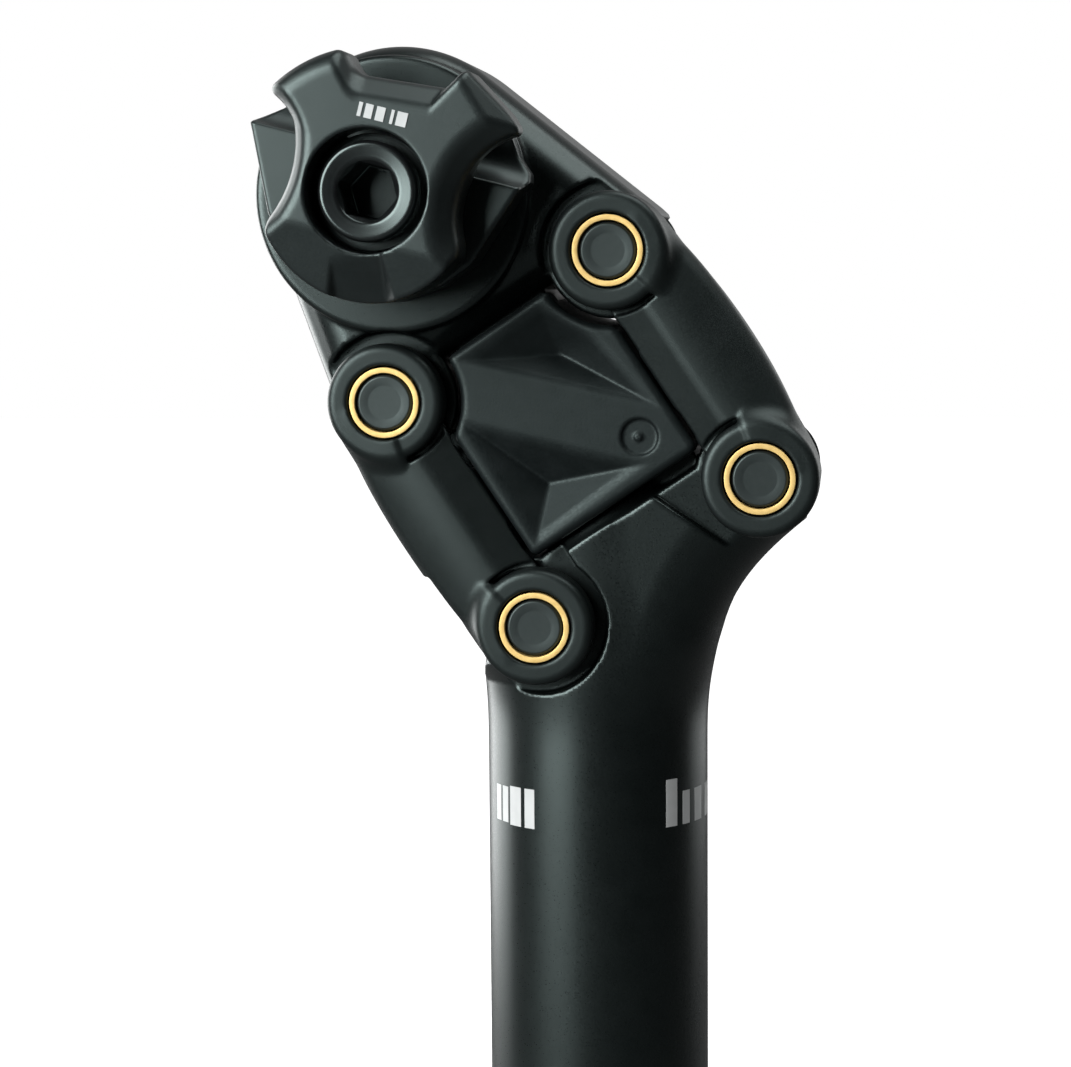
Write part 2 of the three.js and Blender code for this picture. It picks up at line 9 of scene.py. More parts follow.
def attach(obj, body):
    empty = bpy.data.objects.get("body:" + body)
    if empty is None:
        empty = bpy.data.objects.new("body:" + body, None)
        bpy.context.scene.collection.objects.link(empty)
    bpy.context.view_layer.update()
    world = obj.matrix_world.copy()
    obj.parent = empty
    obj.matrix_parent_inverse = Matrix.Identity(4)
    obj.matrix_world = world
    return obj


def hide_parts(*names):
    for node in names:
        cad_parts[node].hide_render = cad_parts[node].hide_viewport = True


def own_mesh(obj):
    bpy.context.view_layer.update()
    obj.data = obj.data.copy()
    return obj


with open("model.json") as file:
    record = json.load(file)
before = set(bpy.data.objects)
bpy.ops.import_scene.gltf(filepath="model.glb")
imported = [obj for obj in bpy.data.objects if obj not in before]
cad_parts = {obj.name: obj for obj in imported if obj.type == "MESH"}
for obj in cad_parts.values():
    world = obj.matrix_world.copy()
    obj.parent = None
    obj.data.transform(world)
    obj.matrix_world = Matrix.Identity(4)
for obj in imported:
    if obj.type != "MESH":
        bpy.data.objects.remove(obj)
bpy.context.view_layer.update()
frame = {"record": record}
MM = 0.001

# ---- Places: the joints read from the imported record, the clamp's tilt given ----

JOINTS = {joint["name"]: joint for joint in frame["record"]["behaviour"]["joints"]}


def joint_place(name):
    """The joint's x and z in millimetres."""
    x, _, z = JOINTS[name]["pos_m"]
    return np.array([x, z]) / MM


LOWER_FRONT = joint_place("linkage_compression")
LOWER_REAR = joint_place("rear_link_swing")
UPPER_FRONT = joint_place("head_level")
UPPER_REAR = UPPER_FRONT + LOWER_REAR - LOWER_FRONT
CLAMP = joint_place("saddle_tilt")
CENTRE = (UPPER_FRONT + LOWER_REAR) / 2
LINKAGE_TILT = math.atan2(*(LOWER_FRONT - LOWER_REAR)[::-1])
CLAMP_TILT = -math.radians(14.5)
PIVOT_HALF = float(np.hypot(*(LOWER_FRONT - LOWER_REAR)) / 2)
FAR = 40.0                      # past every outline


class Place:
    """A flat frame in x and z, turned by tilt about its origin."""

    def __init__(self, origin, tilt):
        self.origin = origin
        self.cos = math.cos(tilt)
        self.sin = math.sin(tilt)

    def inside(self, x, z):
        dx = x - self.origin[0]
        dz = z - self.origin[1]
        return dx * self.cos + dz * self.sin, -dx * self.sin + dz * self.cos

    def outside(self, points):
        x, y, z = points.T
        return np.column_stack([
            self.origin[0] + x * self.cos - z * self.sin,
            y,
            self.origin[1] + x * self.sin + z * self.cos,
        ])


PART = Place(np.zeros(2), 0.0)
LINKAGE = Place(CENTRE, LINKAGE_TILT)
CLAMP_PLACE = Place(CLAMP, CLAMP_TILT)

# ---- Distance fields ----


def round_max(a, b, radius):
    """Where two solids overlap, with a round edge."""
    corner = np.hypot(np.maximum(a + radius, 0), np.maximum(b + radius, 0))
    return np.minimum(-radius, np.maximum(a, b)) + corner


def round_min(a, b, radius):
    """Two solids joined, with a round fillet."""
    corner = np.hypot(np.maximum(radius - a, 0), np.maximum(radius - b, 0))
    return np.maximum(radius, np.minimum(a, b)) - corner


def soft_min(a, b, width):
    gap = np.maximum(width - np.abs(a - b), 0) / width
    return np.minimum(a, b) - gap * gap * width / 4


def soft_max(a, b, width):
    return -soft_min(-a, -b, width)


def bevel(a, b, width):
    """The flat that cuts the edge between a and b."""
    return (a + b + width) * math.sqrt(0.5)


def circle(x, z, centre, radius):
    return np.hypot(x - centre[0], z - centre[1]) - radius


def outline(x, z, points):
    """Distance to a closed polygon, negative inside."""
    nearest = np.inf
    inside = False
    for (ax, az), (bx, bz) in zip(points, np.roll(points, -1, axis=0)):
        ex, ez = bx - ax, bz - az
        wx, wz = x - ax, z - az
        along = np.clip((wx * ex + wz * ez) / (ex * ex + ez * ez), 0, 1)
        nearest = np.minimum(nearest, (wx - ex * along) ** 2 + (wz - ez * along) ** 2)
        if ez:
            crossed = ((az > z) != (bz > z)) & (x < ex * (z - az) / ez + ax)
            inside = inside ^ crossed
    return np.where(inside, -1, 1) * np.sqrt(nearest)


def line_side(x, z, start, end):
    """Distance to the line from start to end, positive on its left."""
    ex, ez = end[0] - start[0], end[1] - start[1]
    return ((z - start[1]) * ex - (x - start[0]) * ez) / math.hypot(ex, ez)


def arc(centre, radius, start, end, steps=24):
    angles = np.linspace(start, end, steps)
    return [(centre[0] + radius * math.cos(a), centre[1] + radius * math.sin(a)) for a in angles]


def curve(p0, p1, p2, p3, steps=20):
    t = np.linspace(0, 1, steps)[:, None]
    p0, p1, p2, p3 = (np.array(p, dtype=float) for p in (p0, p1, p2, p3))
    points = p0 * (1 - t) ** 3 + 3 * p1 * t * (1 - t) ** 2 + 3 * p2 * t * t * (1 - t) + p3 * t ** 3
    return [tuple(p) for p in points]


def smooth_step(low, high, value):
    t = np.clip((value - low) / (high - low), 0, 1)
    return t * t * (3 - 2 * t)


# ---- From field to mesh ----


def ruler(*stretches):
    """Grid lines: (start, end, spacing) for each stretch."""
    lines = [np.arange(start, end, spacing) for start, end, spacing in stretches]
    return np.concatenate(lines + [[stretches[-1][1]]])


def surface_net(field, xs, ys, zs):
    """A closed quad mesh on the field's zero surface."""
    values = field(xs[:, None, None], ys[None, :, None], zs[None, None, :])
    values = np.broadcast_to(values, (len(xs), len(ys), len(zs)))
    solid = values < 0
    corners = [(i, j, k) for i in (0, 1) for j in (0, 1) for k in (0, 1)]
    shape = tuple(n - 1 for n in solid.shape)
    count = np.zeros(shape, dtype=np.int8)
    for i, j, k in corners:
        count += solid[i:i + shape[0], j:j + shape[1], k:k + shape[2]]
    ci, cj, ck = np.nonzero((count > 0) & (count < 8))
    number = np.full(shape, -1, dtype=np.int64)
    number[ci, cj, ck] = np.arange(len(ci))
    total = np.zeros((len(ci), 3))
    hits = np.zeros(len(ci))
    for a in corners:
        for axis in range(3):
            if a[axis]:
                continue
            b = tuple(1 if n == axis else a[n] for n in range(3))
            va = values[ci + a[0], cj + a[1], ck + a[2]]
            vb = values[ci + b[0], cj + b[1], ck + b[2]]
            crossed = (va < 0) != (vb < 0)
            share = np.where(crossed, va / np.where(crossed, va - vb, 1), 0)[:, None]
            pa = np.column_stack([xs[ci + a[0]], ys[cj + a[1]], zs[ck + a[2]]])
            pb = np.column_stack([xs[ci + b[0]], ys[cj + b[1]], zs[ck + b[2]]])
            total += np.where(crossed[:, None], pa + share * (pb - pa), 0)
            hits += crossed
    points = total / hits[:, None]
    faces = []
    for axis in range(3):
        first, second = (axis + 1) % 3, (axis + 2) % 3
        low = [slice(1, -1)] * 3
        low[axis] = slice(0, -1)
        high = list(low)
        high[axis] = slice(1, None)
        start, end = solid[tuple(low)], solid[tuple(high)]
        at = np.array(np.nonzero(start != end))
        leaving = start[tuple(at)]
        at[first] += 1
        at[second] += 1
        ring = []
        for da, db in ((-1, -1), (0, -1), (0, 0), (-1, 0)):
            cell = at.copy()
            cell[first] += da
            cell[second] += db
            ring.append(number[tuple(cell)])
        ring = np.array(ring).T
        ring[~leaving] = ring[~leaving][:, ::-1]
        faces.append(ring)
    return points, np.concatenate(faces)


def slope(field, points, step=0.01):
    """The field's gradient at each point."""
    x, y, z = points.T
    return np.column_stack([
        field(x + step, y, z) - field(x - step, y, z),
        field(x, y + step, z) - field(x, y - step, z),
        field(x, y, z + step) - field(x, y, z - step),
    ]) / (2 * step)


def settle(field, points, faces, rounds, reach):
    """Evens out the vertices along the surface and puts each one exactly on it."""
    loops = np.concatenate([faces[:, [n, (n + 1) % 4]] for n in range(4)])
    degree = np.bincount(loops.ravel(), minlength=len(points))[:, None]
    for turn in range(rounds + 2):
        gradient = slope(field, points)
        length = np.maximum((gradient ** 2).sum(axis=1, keepdims=True), 0.25)
        if turn < rounds:
            total = np.zeros_like(points)
            for axis in range(3):
                here = points[:, axis]
                total[:, axis] = (
                    np.bincount(loops[:, 0], here[loops[:, 1]], len(points))
                    + np.bincount(loops[:, 1], here[loops[:, 0]], len(points))
                )
            drift = total / degree - points
            drift -= (drift * gradient).sum(axis=1, keepdims=True) / length * gradient
            points = points + 0.5 * drift
        distance = field(*points.T)[:, None]
        points = points - np.clip(distance / length, -reach, reach) * gradient
    return points


def new_mesh(name, points, faces, body, nodes, material):
    """A smooth mesh object in metres that rides on a body and stands for CAD nodes."""
    mesh = bpy.data.meshes.new(name)
    mesh.from_pydata((points * MM).tolist(), [], faces if isinstance(faces, list) else faces.tolist())
    mesh.shade_smooth()
    mesh.materials.append(material)
    piece = bpy.data.objects.new(name, mesh)
    bpy.context.collection.objects.link(piece)
    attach(piece, body)
    if nodes:
        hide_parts(*nodes)
    return piece


def grow(name, field, place, grid, body, nodes, material, rounds=3):
    points, faces = surface_net(field, *grid)
    points = settle(field, points, faces, rounds, 0.2)
    return new_mesh(name, place.outside(points), faces, body, nodes, material)


def turn(name, profile, centre, body, nodes, slot, material, sides=128):
    """A ring or rod turned about the line parallel to y through centre.

    The profile is closed and made of (radius, y) points.
    """
    profile = np.array(profile, dtype=float)
    on_axis = profile[:, 0] < 1e-9
    points = []
    index = []
    for (radius, y), axial in zip(profile, on_axis):
        index.append(len(points))
        if axial:
            points.append((centre[0], y, centre[1]))
            continue
        for side in range(sides):
            angle = 2 * math.pi * side / sides
            points.append((centre[0] + radius * math.cos(angle), y, centre[1] + radius * math.sin(angle)))
    faces = []
    total = len(profile)
    for n in range(total):
        m = (n + 1) % total
        if on_axis[n] and on_axis[m]:
            continue
        for side in range(sides):
            nxt = (side + 1) % sides
            a, b = index[n] + side, index[n] + nxt
            c, d = index[m] + nxt, index[m] + side
            if on_axis[n]:
                faces.append((index[n], c, d))
            elif on_axis[m]:
                faces.append((a, b, index[m]))
            else:
                faces.append((a, b, c, d))
    return new_mesh(name, np.array(points), faces, body, nodes, material)


def eased(profile, radius, steps=3):
    """The closed profile with each off-axis corner rounded."""
    points = [np.array(p, dtype=float) for p in profile]
    result = []
    for n, point in enumerate(points):
        before, after = points[n - 1], points[(n + 1) % len(points)]
        if point[0] < 1e-9:
            result.append(tuple(point))
            continue
        reach = min(radius, np.linalg.norm(before - point) * 0.45, np.linalg.norm(after - point) * 0.45)
        start = point + (before - point) / np.linalg.norm(before - point) * reach
        end = point + (after - point) / np.linalg.norm(after - point) * reach
        for t in np.linspace(0, 1, steps + 1):
            result.append(tuple(start * (1 - t) ** 2 + 2 * point * t * (1 - t) + end * t * t))
    return result


# ---- Materials ----


def shader(name):
    material = bpy.data.materials.new(name)
    material.use_nodes = True
    nodes = material.node_tree.nodes
    return material, nodes, material.node_tree.links, nodes["Principled BSDF"]


def noise(nodes, links, vector, scale, detail):
    node = nodes.new("ShaderNodeTexNoise")
    node.inputs["Scale"].default_value = scale
    node.inputs["Detail"].default_value = detail
    links.new(vector, node.inputs["Vector"])
    return node.outputs["Fac"]


def spread(nodes, links, value, low, high, to_low, to_high):
    node = nodes.new("ShaderNodeMapRange")
    for socket, number in zip(node.inputs[1:5], (low, high, to_low, to_high)):
        socket.default_value = number
    links.new(value, node.inputs["Value"])
    return node.outputs["Result"]


def tinted(nodes, links, value, dark, light):
    node = nodes.new("ShaderNodeMix")
    node.data_type = "RGBA"
    node.inputs[6].default_value = (*dark, 1)
    node.inputs[7].default_value = (*light, 1)
    links.new(value, node.inputs[0])
    return node.outputs[2]


GLOSS_TINT = (0.80, 1.0, 0.97, 1)     # dyed black metal reflects a little green


def finish_material(
    name, dark, light, rough, grain, depth,
    metallic=0.0, cloud=260, swing=0.05, specular=0.5,
):
    """A fine-grained surface: slow clouds in colour, and a grain in height and gloss."""
    material, nodes, links, bsdf = shader(name)
    place = nodes.new("ShaderNodeTexCoord").outputs["Object"]
    clouds = noise(nodes, links, place, cloud, 4)
    grains = noise(nodes, links, place, grain, 2)
    shade = spread(nodes, links, clouds, 0.3, 0.7, 0, 1)
    links.new(tinted(nodes, links, shade, dark, light), bsdf.inputs["Base Color"])
    links.new(spread(nodes, links, grains, 0.3, 0.7, rough - swing, rough + swing), bsdf.inputs["Roughness"])
    bsdf.inputs["Metallic"].default_value = metallic
    bsdf.inputs["Specular IOR Level"].default_value = specular
    bsdf.inputs["Specular Tint"].default_value = GLOSS_TINT
    bump = nodes.new("ShaderNodeBump")
    bump.inputs["Strength"].default_value = 1.0
    bump.inputs["Distance"].default_value = depth
    links.new(grains, bump.inputs["Height"])
    links.new(bump.outputs["Normal"], bsdf.inputs["Normal"])
    return material


def turned_material(name, dark, light, rough, pitch, depth, metallic=1.0, specular=0.5):
    """Metal cut on a lathe: fine rings about the piece's own axis."""
    material, nodes, links, bsdf = shader(name)
    coordinate = nodes.new("ShaderNodeTexCoord")
    centred = nodes.new("ShaderNodeVectorMath")
    centred.operation = "SUBTRACT"
    centred.inputs[1].default_value = (0.5, 0.5, 0.5)
    links.new(coordinate.outputs["Generated"], centred.inputs[0])
    flat = nodes.new("ShaderNodeVectorMath")
    flat.operation = "MULTIPLY"
    flat.inputs[1].default_value = (1, 0, 1)
    links.new(centred.outputs[0], flat.inputs[0])
    length = nodes.new("ShaderNodeVectorMath")
    length.operation = "LENGTH"
    links.new(flat.outputs[0], length.inputs[0])
    rings = nodes.new("ShaderNodeTexNoise")
    rings.noise_dimensions = "1D"
    rings.inputs["Scale"].default_value = pitch
    rings.inputs["Detail"].default_value = 3
    links.new(length.outputs["Value"], rings.inputs["W"])
    tone = noise(nodes, links, coordinate.outputs["Object"], 1400, 3)
    shade = spread(nodes, links, tone, 0.3, 0.7, 0, 1)
    links.new(tinted(nodes, links, shade, dark, light), bsdf.inputs["Base Color"])
    links.new(spread(nodes, links, rings.outputs["Fac"], 0.3, 0.7, rough - 0.02, rough + 0.02),
              bsdf.inputs["Roughness"])
    bsdf.inputs["Metallic"].default_value = metallic
    bsdf.inputs["Specular IOR Level"].default_value = specular
    bsdf.inputs["Specular Tint"].default_value = GLOSS_TINT
    bump = nodes.new("ShaderNodeBump")
    bump.inputs["Strength"].default_value = 1.0
    bump.inputs["Distance"].default_value = depth
    links.new(rings.outputs["Fac"], bump.inputs["Height"])
    links.new(bump.outputs["Normal"], bsdf.inputs["Normal"])
    return material


ANODISED = finish_material(
    "anodised_black", (0.0014, 0.0021, 0.0021), (0.0028, 0.0038, 0.0038),
    rough=0.32, grain=5200, depth=2.5e-6,
)
LINK_BLACK = finish_material(
    "link_black", (0.0026, 0.0037, 0.0037), (0.0048, 0.0062, 0.0062),
    rough=0.42, grain=4200, depth=6e-6, specular=0.36,
)
CLAMP_BLACK = finish_material(
    "clamp_black", (0.0040, 0.0052, 0.0054), (0.0066, 0.0082, 0.0084),
    rough=0.38, grain=4800, depth=5e-6,
)
RUBBER = finish_material(
    "elastomer", (0.0026, 0.0038, 0.0040), (0.0052, 0.0068, 0.0072),
    rough=0.47, grain=3000, depth=1.2e-5, cloud=420, swing=0.07, specular=0.27,
)
STEEL = turned_material(
    "black_steel", (0.0034, 0.0038, 0.004), (0.006, 0.0066, 0.007),
    rough=0.24, pitch=60, depth=3e-7, metallic=0.0, specular=0.6,
)
PIN = turned_material(
    "pin_steel", (0.0048, 0.006, 0.0062), (0.008, 0.0096, 0.0098),
    rough=0.42, pitch=90, depth=1.2e-6, metallic=0.0,
)
BRONZE = turned_material(
    "bronze", (0.56, 0.385, 0.13), (0.66, 0.47, 0.18),
    rough=0.5, pitch=120, depth=1e-6, metallic=0.55,
)
POLYMER = finish_material(
    "polymer", (0.012, 0.0125, 0.013), (0.019, 0.02, 0.0205),
    rough=0.6, grain=3600, depth=8e-6,
)
PRINT = finish_material(
    "pale_print", (0.36, 0.37, 0.37), (0.44, 0.45, 0.45),
    rough=0.5, grain=5200, depth=3e-6,
)

# ---- Post and yoke, in one piece ----

TUBE_RADIUS = 13.6
BORE_RADIUS = 11.2
SPIGOT_BORE_RADIUS = 8.4
SPIGOT_FOOT = 250.3
WELL_TOP = 278.3
LUG_RADIUS = 6.9                # the head's outline round its lugs
LUG_END = 5.6                   # the round lug ends inside the links' forks
WEB_RADIUS = 7.9                # the flesh between a lug and the elastomer
WEB_EDGE = 12.7
WEB_FLOOR = -16.5
LUG_HALF_WIDTH = 11.2
PIN_HOLE = 3.16
RIB_HALF_WIDTH = 9.0            # ribs that key into the elastomer
RIB_CLEARANCE = 0.35
RIB_MIDDLE = -10.0
RIB_HALF_HEIGHT = 1.4
YOKE_HALF_WIDTH = 12.9
YOKE_TOP_EDGE = -9.3
SEAM_FROM_PIVOT = 9.05
SEAM_ANGLE = LINKAGE_TILT - math.radians(67.6)
POCKET_RADIUS = 8.4
POCKET_FLOOR_ANGLE = LINKAGE_TILT + math.radians(125)
YOKE_REAR = 13.3


def beside_centre(x, z):
    """x from the post's axis and z from the middle of the linkage."""
    return x, CENTRE[1] + z


YOKE_FRONT = curve(
    beside_centre(14.1, -38), beside_centre(13.9, -23),
    beside_centre(16.6, -17.5), beside_centre(26.0, -10.0),
)


def yoke_points():
    points = [(-YOKE_REAR, -FAR), (TUBE_RADIUS + 0.5, -FAR)]
    points += YOKE_FRONT
    points += arc(LOWER_FRONT, LUG_END, -0.70, LINKAGE_TILT + math.pi * 0.62)
    points += arc(LOWER_REAR, LUG_END, LINKAGE_TILT + math.pi * 0.38, math.pi * 1.05)
    points += [(-YOKE_REAR, LOWER_REAR[1] - 7)]
    return np.array(points)


def shoulder_points():
    """The yoke's flanks carried on past its top, so that only they are rounded."""
    ceiling = 2 * FAR + CENTRE[1]
    points = [(-YOKE_REAR, -FAR), (TUBE_RADIUS + 0.5, -FAR)] + YOKE_FRONT
    points += [(FAR, YOKE_FRONT[-1][1] + 10), (FAR, ceiling), (-YOKE_REAR, ceiling)]
    return np.array(points)


def rear_pocket_points():
    edge = np.array([math.cos(POCKET_FLOOR_ANGLE), math.sin(POCKET_FLOOR_ANGLE)])
    low = LOWER_REAR + np.array([-edge[1], edge[0]]) * POCKET_RADIUS
    inner = POCKET_RADIUS - 0.6
    side = LOWER_REAR + inner * np.array([math.cos(LINKAGE_TILT), math.sin(LINKAGE_TILT)])
    up = np.array([-math.sin(LINKAGE_TILT), math.cos(LINKAGE_TILT)])
    return np.array([low, low + edge * FAR, side + up * FAR, side, LOWER_REAR])


YOKE_POINTS = yoke_points()
SHOULDER_POINTS = shoulder_points()
REAR_POCKET_POINTS = rear_pocket_points()
RIB_REACH = 10.6
FLANK_ROUNDING = 9.5
FLARE_FOOT = CENTRE[1] - 41
FLARE_HEIGHT = 27.0
FLARE_REACH = 20.0
FLARE_INSET = 2.6
FLARE_POWER = 2.1
FLARE_SLOPE = 0.8               # brings the flare's field near true distance
FADE_FROM = CENTRE[1] - 30      # the tube draws in inside the yoke between these heights
FADE_TO = CENTRE[1] - 12
FADE_DEPTH = 1.6
YOKE_BLEND = 2.0
EDGE_EASE = 0.25


def post_field(x, y, z):
    beside = np.abs(y)
    radius = np.hypot(x, y)
    u, w = LINKAGE.inside(x, z)
    side = outline(x, z, YOKE_POINTS)
    pivots = np.hypot(np.abs(u) - PIVOT_HALF, w + PIVOT_HALF)
    rise = np.clip((z - FLARE_FOOT) / FLARE_HEIGHT, 0, 1.4)
    flare = radius - TUBE_RADIUS + FLARE_INSET - FLARE_REACH * rise ** FLARE_POWER
    flare = flare * FLARE_SLOPE
    flanks = outline(x, z, SHOULDER_POINTS)
    slab = np.maximum(round_max(flanks, beside - YOKE_HALF_WIDTH, FLANK_ROUNDING), side)
    # square lugs on the rear side only, and a round end at each pivot
    lugs = np.maximum(round_max(side, beside - LUG_HALF_WIDTH, 3.0), x)
    lugs = np.minimum(lugs, round_max(pivots - LUG_END, beside - LUG_HALF_WIDTH, 0.3))
    fading = FADE_DEPTH * smooth_step(FADE_FROM, FADE_TO, z)
    tube = np.maximum(radius - TUBE_RADIUS + fading, side - 1.5)
    body = soft_min(tube, soft_max(slab, flare, 2.2), YOKE_BLEND)
    body = np.minimum(body, np.maximum(lugs, flare))
    body = round_max(body, w - YOKE_TOP_EDGE, 0.2)
    # a rib into the elastomer's groove, and webs between it and the lugs
    rib = np.maximum(beside - RIB_HALF_WIDTH, np.abs(u) - RIB_REACH)
    rib = np.maximum(rib, np.abs(w - RIB_MIDDLE) - RIB_HALF_HEIGHT)
    webs = np.maximum(pivots - WEB_RADIUS, np.abs(u) - WEB_EDGE)
    webs = np.maximum(np.maximum(webs, beside - LUG_HALF_WIDTH), WEB_FLOOR - w)
    body = np.minimum(body, np.minimum(rib, webs))
    # pockets where the links swing past
    across = (-math.sin(SEAM_ANGLE), math.cos(SEAM_ANGLE))
    front_pocket = -(
        (x - LOWER_FRONT[0]) * across[0] + (z - LOWER_FRONT[1]) * across[1] + SEAM_FROM_PIVOT
    )
    rear_pocket = np.minimum(
        outline(x, z, REAR_POCKET_POINTS),
        circle(x, z, LOWER_REAR, POCKET_RADIUS),
    )
    pockets = round_max(np.minimum(front_pocket, rear_pocket), LUG_HALF_WIDTH - beside, EDGE_EASE)
    body = round_max(body, -pockets, EDGE_EASE)
    holes = np.minimum(circle(x, z, LOWER_FRONT, PIN_HOLE), circle(x, z, LOWER_REAR, PIN_HOLE))
    bore = np.maximum(radius - BORE_RADIUS, z - SPIGOT_FOOT)
    well = np.maximum(radius - SPIGOT_BORE_RADIUS, z - WELL_TOP)
    hollow = np.minimum(round_min(bore, well, 0.3), holes)
    body = round_max(body, -hollow, 0.4)
    return round_max(body, -z, 0.7)


grow(
    "post_shell", post_field, PART,
    (
        ruler((-15.2, 29.2, 0.34)),
        ruler((-15.0, 15.0, 0.34)),
        ruler(
            (-1.0, 2.4, 0.3), (2.4, 248.0, 4.0), (248.0, 252.0, 0.4),
            (252.0, 268.0, 2.0), (268.0, 318.0, 0.32),
        ),
    ),
    "post", ["post_tube", "post_yoke"], ANODISED,
)

# ---- Links ----

BOSS_RADIUS = 6.96
BOSS_FACE = 16.2
CHEEK_INNER = 12.4
CHEEK_FACE = 15.5
CHEEK_RELIEF = 0.65
ARM_INNER = 12.05
BAND_WIDTH = 4.0
BAND_DROP = 2.2
BRIDGE_HALF = 4.0
OUTER_WALL = 19.8
LUG_ROOM = 7.0
REAR_WALL_END = math.radians(-62)      # the rear link swings down beside the yoke
TRENCH_DEPTH = 2.3
DRAFT = 1.5                     # the outline draws in behind the right-hand cheek
BORE_IN_BOSS = 4.42
NOTCH_ANGLE = math.radians(-77)
NOTCH_FADE = 0.12
ARM_EASE = 1.6
CROWN_START = 17.0              # the arm's face falls away from here outwards
CROWN = 0.042
BAND_SLOPE = 0.86
DRAFT_FROM, DRAFT_TO = -12.8, -9.0
DRAFT_EDGE, DRAFT_FULL = 15.0, 20.0
TRENCH_WIDTH = 0.7
WALL_REACH = 13.5
RELIEF_FROM, RELIEF_TO = 8.2, 9.2


def arm_points():
    shoulder = BOSS_RADIUS - 0.9
    upper = curve(
        (PIVOT_HALF + shoulder * math.cos(0.4), PIVOT_HALF + shoulder * math.sin(0.4)),
        (23.9, 14.2), (24.7, 6.5), (24.7, 0),
    )
    lower = [(u, -w) for u, w in reversed(upper[:-1])]
    return np.array([(PIVOT_HALF, PIVOT_HALF)] + upper + lower + [
        (PIVOT_HALF, -PIVOT_HALF), (ARM_INNER, -14.5), (ARM_INNER, 14.5),
    ])


ARM_POINTS = arm_points()


def link_field(side):
    def field(x, y, z):
        u = side * x
        w = np.abs(z)
        beside = np.abs(y)
        flat = outline(u, z, ARM_POINTS)
        draft = DRAFT * smooth_step(DRAFT_FROM, DRAFT_TO, y)
        flat = flat + draft * smooth_step(DRAFT_EDGE, DRAFT_FULL, u)
        top = CHEEK_FACE - CROWN * np.maximum(u - CROWN_START, 0) ** 2
        arm = round_max(flat, beside - top, ARM_EASE)
        ramp = (u - ARM_INNER) / BAND_WIDTH
        band = (beside - CHEEK_FACE + BAND_DROP * (1 - ramp)) * BAND_SLOPE
        arm = round_max(arm, band, 0.35)
        du, dw = u - PIVOT_HALF, w - PIVOT_HALF
        reach = np.hypot(du, dw)
        rim = reach - BOSS_RADIUS + draft
        angle = np.arctan2(dw, du)
        inner = 1 - smooth_step(NOTCH_ANGLE - NOTCH_FADE, NOTCH_ANGLE + NOTCH_FADE, angle)
        inner = np.where(angle > 1.2, 1.0, inner)
        ring = reach - BOSS_RADIUS - TRENCH_WIDTH
        trench = np.maximum(ring, (angle - NOTCH_ANGLE) * reach)
        trench = np.where(angle > 1.5, ring, trench)
        trench = np.maximum(trench, CHEEK_FACE - TRENCH_DEPTH - beside)
        arm = round_max(arm, -trench, 0.2)
        boss = round_max(rim, beside - BOSS_FACE, 0.95)
        body = round_min(arm, boss, 0.05 + 1.9 * (1 - inner))
        wall = np.maximum(np.maximum(OUTER_WALL - u, w - WALL_REACH), LUG_ROOM - reach)
        if side < 0:
            wall = np.maximum(wall, np.where(z < 0, (angle - REAR_WALL_END) * reach, -FAR))
        cheek = CHEEK_INNER + CHEEK_RELIEF * smooth_step(RELIEF_FROM, RELIEF_TO, reach)
        slot = round_max(np.maximum(BRIDGE_HALF - w, -wall), beside - cheek, 0.5)
        body = round_max(body, -slot, 0.5)
        return round_max(body, BORE_IN_BOSS - reach, 0.25)
    return field


for name, side in (("front_link", 1), ("rear_link", -1)):
    across = ruler((7.6, 26.2, 0.26)) if side > 0 else ruler((-26.2, -7.6, 0.26))
    grow(
        name + "_forging", link_field(side), LINKAGE,
        (across, ruler((-17.0, 17.0, 0.26)), ruler((-24.0, 24.0, 0.26))),
        name + "_body", [name], LINK_BLACK,
    )

# ---- Head ----

HEAD_CENTRE = LINKAGE.inside(CLAMP[0] + 0.2, CLAMP[1] + 1.1)
DRUM_CENTRE = LINKAGE.inside(*CLAMP)
HEAD_RADIUS = 16.68
HEAD_HALF_WIDTH = 13.4
HEAD_LOWER_EDGE = 16.9
DRUM_RADIUS = 16.35
DRUM_FACE = 15.0
UPPER = (PIVOT_HALF, PIVOT_HALF)
HEAD_RIB_REACH = 6.4
HEAD_RIB_MIDDLE = 16.9
HEAD_RIB_HALF_HEIGHT = 1.7
HEAD_WEB_RADIUS = 8.0           # any wider and it cuts the elastomer at full travel
HEAD_WEB_EDGE = 12.4
HEAD_BEVEL = 3.4
BOLT_HOLE = 4.3


def head_points():
    front = np.array(UPPER)
    rear = np.array([-PIVOT_HALF, PIVOT_HALF])
    drum = np.array(HEAD_CENTRE)
    front_tilt = math.atan2(*(front - drum)[::-1])
    front_open = math.acos((HEAD_RADIUS - LUG_RADIUS) / np.linalg.norm(front - drum))
    rear_tilt = math.atan2(*(rear - drum)[::-1])
    rear_open = math.acos((HEAD_RADIUS - LUG_RADIUS) / np.linalg.norm(rear - drum))
    lip = math.asin((HEAD_LOWER_EDGE - PIVOT_HALF) / LUG_RADIUS)
    points = arc(drum, HEAD_RADIUS, front_tilt + front_open, rear_tilt - rear_open + 2 * math.pi, 60)
    points += arc(rear, LUG_RADIUS, rear_tilt - rear_open, lip)
    points += arc(front, LUG_RADIUS, math.pi - lip, front_tilt + front_open + 2 * math.pi)
    return np.array(points)


HEAD_POINTS = head_points()


